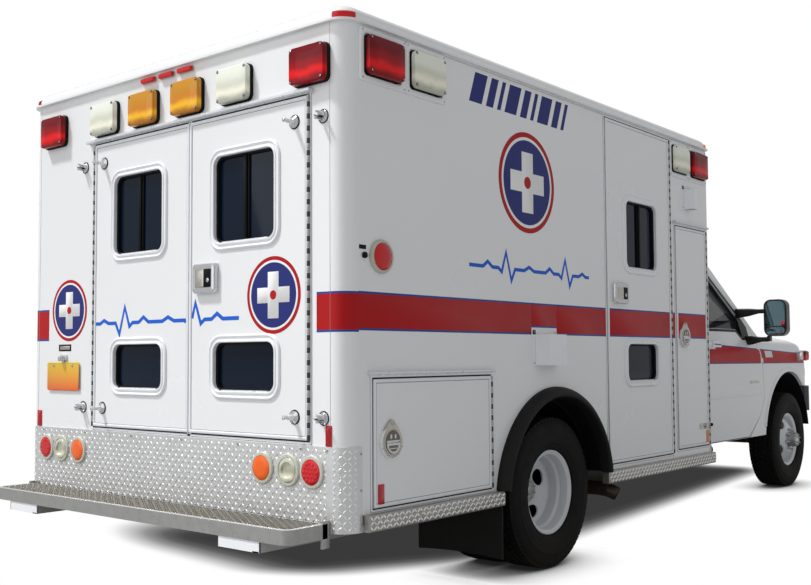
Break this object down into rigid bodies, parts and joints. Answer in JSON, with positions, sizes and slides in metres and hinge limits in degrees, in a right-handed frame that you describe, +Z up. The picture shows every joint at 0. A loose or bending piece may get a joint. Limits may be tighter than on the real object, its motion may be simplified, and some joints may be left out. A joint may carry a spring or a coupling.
{
  "type": "ambulance",
  "caption": "Box-body ambulance on a cab chassis with dual rear wheels, hinged rear, side, locker and cab doors, opening hood and steered front wheels.",
  "frame": {"origin": "on the ground under the middle of the vehicle's outer box", "axes": "+X forward along the vehicle, +Y to the vehicle's left, +Z up"},
  "size_m": [7.043, 2.56, 2.6059],
  "materials": {
    "body_paint": "gloss",
    "tinted_glass": "gloss",
    "tyre_rubber": "matte",
    "wheel_paint": "gloss",
    "chassis_black": "satin",
    "tread_aluminium": "satin",
    "black_rubber": "matte",
    "lamp_plastic": "gloss",
    "fitting_metal": "polished",
    "bumper_chrome": "polished",
    "seat_vinyl": "satin",
    "cab_plastic": "matte",
    "inner_aluminium": "satin",
    "cabinet_laminate": "satin"
  },
  "bodies": {
    "chassis": {"frame_rails": "chassis_black", "axles_and_springs": "chassis_black", "powertrain": "chassis_black", "module_floor": "inner_aluminium", "module_left_wall": "body_paint", "module_right_wall": "body_paint", "module_end_walls": "body_paint", "module_roof": "body_paint", "locker_liners": "inner_aluminium", "bench_and_cabinets": "cabinet_laminate", "step_and_plates": "tread_aluminium", "flares_and_flaps": "black_rubber", "lamps": "lamp_plastic", "wall_fittings": "fitting_metal", "cab_shell": "body_paint", "windshield": "tinted_glass", "front_fenders": "body_paint", "grille_and_bumper": "bumper_chrome", "seats": "seat_vinyl", "dashboard": "cab_plastic"},
    "rear_left_door": {"rear_left_door": "body_paint", "rear_left_glass": "tinted_glass"},
    "rear_right_door": {"rear_right_door": "body_paint", "rear_right_glass": "tinted_glass"},
    "entry_door": {"entry_door": "body_paint", "entry_glass": "tinted_glass"},
    "right_rear_locker_door": {"right_rear_locker_door": "body_paint"},
    "right_front_locker_door": {"right_front_locker_door": "body_paint"},
    "left_rear_locker_door": {"left_rear_locker_door": "body_paint"},
    "left_front_locker_door": {"left_front_locker_door": "body_paint"},
    "cab_left_door": {"cab_left_door": "body_paint", "cab_left_glass": "tinted_glass"},
    "cab_right_door": {"cab_right_door": "body_paint", "cab_right_glass": "tinted_glass"},
    "hood": {"hood": "body_paint"},
    "left_knuckle": {"left_knuckle": "chassis_black"},
    "right_knuckle": {"right_knuckle": "chassis_black"},
    "front_left_wheel": {"front_left_tyre": "tyre_rubber", "front_left_rim": "wheel_paint"},
    "front_right_wheel": {"front_right_tyre": "tyre_rubber", "front_right_rim": "wheel_paint"},
    "rear_left_wheels": {"rear_left_tyres": "tyre_rubber", "rear_left_rims": "wheel_paint"},
    "rear_right_wheels": {"rear_right_tyres": "tyre_rubber", "rear_right_rims": "wheel_paint"}
  },
  "joints": [
    {"name": "left_steer", "type": "hinge", "parent": "chassis", "child": "left_knuckle", "pos_m": [2.5585, 0.79, 0.398], "axis": [0, 0, 1], "range_deg": [-33, 33]},
    {"name": "right_steer", "type": "hinge", "parent": "chassis", "child": "right_knuckle", "pos_m": [2.5585, -0.79, 0.398], "axis": [0, 0, 1], "range_deg": [-33, 33]},
    {"name": "front_left_spin", "type": "hinge", "parent": "left_knuckle", "child": "front_left_wheel", "pos_m": [2.5585, 0.868, 0.398], "axis": [0, 1, 0], "continuous": true},
    {"name": "front_right_spin", "type": "hinge", "parent": "right_knuckle", "child": "front_right_wheel", "pos_m": [2.5585, -0.868, 0.398], "axis": [0, 1, 0], "continuous": true},
    {"name": "rear_left_spin", "type": "hinge", "parent": "chassis", "child": "rear_left_wheels", "pos_m": [-1.6275, 0.94, 0.398], "axis": [0, 1, 0], "continuous": true},
    {"name": "rear_right_spin", "type": "hinge", "parent": "chassis", "child": "rear_right_wheels", "pos_m": [-1.6275, -0.94, 0.398], "axis": [0, 1, 0], "continuous": true},
    {"name": "rear_left_door_hinge", "type": "hinge", "parent": "chassis", "child": "rear_left_door", "pos_m": [-3.2785, 0.585, 1.5035], "axis": [0, 0, -1], "range_deg": [0, 110]},
    {"name": "rear_right_door_hinge", "type": "hinge", "parent": "chassis", "child": "rear_right_door", "pos_m": [-3.2785, -0.997, 1.5035], "axis": [0, 0, 1], "range_deg": [0, 110]},
    {"name": "entry_door_hinge", "type": "hinge", "parent": "chassis", "child": "entry_door", "pos_m": [-0.2195, -1.207, 1.5], "axis": [0, 0, 1], "range_deg": [0, 90]},
    {"name": "right_rear_locker_hinge", "type": "hinge", "parent": "chassis", "child": "right_rear_locker_door", "pos_m": [-2.2375, -1.207, 0.7565], "axis": [0, 0, 1], "range_deg": [0, 100]},
    {"name": "right_front_locker_hinge", "type": "hinge", "parent": "chassis", "child": "right_front_locker_door", "pos_m": [0.3365, -1.207, 1.24], "axis": [0, 0, 1], "range_deg": [0, 100]},
    {"name": "left_rear_locker_hinge", "type": "hinge", "parent": "chassis", "child": "left_rear_locker_door", "pos_m": [-2.2375, 1.207, 0.7565], "axis": [0, 0, -1], "range_deg": [0, 100]},
    {"name": "left_front_locker_hinge", "type": "hinge", "parent": "chassis", "child": "left_front_locker_door", "pos_m": [0.3365, 1.207, 1.24], "axis": [0, 0, -1], "range_deg": [0, 100]},
    {"name": "cab_left_door_hinge", "type": "hinge", "parent": "chassis", "child": "cab_left_door", "pos_m": [1.9785, 0.985, 0.9], "axis": [0, 0, -1], "range_deg": [0, 65]},
    {"name": "cab_right_door_hinge", "type": "hinge", "parent": "chassis", "child": "cab_right_door", "pos_m": [1.9785, -0.985, 0.9], "axis": [0, 0, 1], "range_deg": [0, 65]},
    {"name": "hood_hinge", "type": "hinge", "parent": "chassis", "child": "hood", "pos_m": [1.9985, 0, 1.32], "axis": [0, -1, 0], "range_deg": [0, 45]}
  ],
  "couplings": [
    {"joint": "right_steer", "follows": "left_steer", "ratio": 1}
  ]
}
